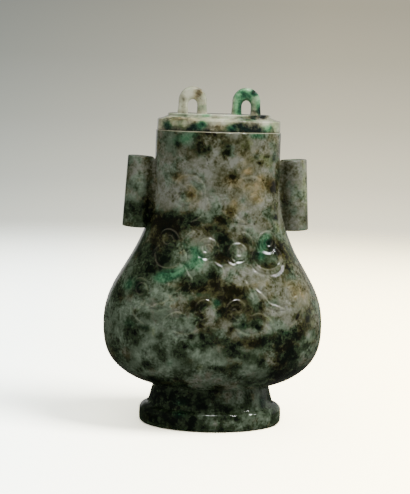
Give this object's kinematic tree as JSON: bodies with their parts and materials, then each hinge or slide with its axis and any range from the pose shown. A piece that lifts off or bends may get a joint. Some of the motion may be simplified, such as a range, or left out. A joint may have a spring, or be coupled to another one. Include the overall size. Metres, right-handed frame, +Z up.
{
  "type": "jade lidded jar",
  "caption": "Flattened pear-shaped jar of mottled green jade on an oval foot, with a tube handle on each side of the neck and a flat lid with pierced loops.",
  "frame": {"origin": "centre of the foot's underside, on the plane that the jar stands on", "axes": "+Z up through the lid, X along the width through both tube handles, -Y towards the front"},
  "size_m": [0.1176, 0.078, 0.18],
  "materials": {
    "jar_jade": "polished mottled jade, grey-green with black, moss-green and brown blotches",
    "lid_jade": "polished mottled jade, pale cream-green with emerald and black spots"
  },
  "bodies": {
    "root": {"jar": "jar_jade", "lid": "lid_jade"}
  },
  "joints": []
}
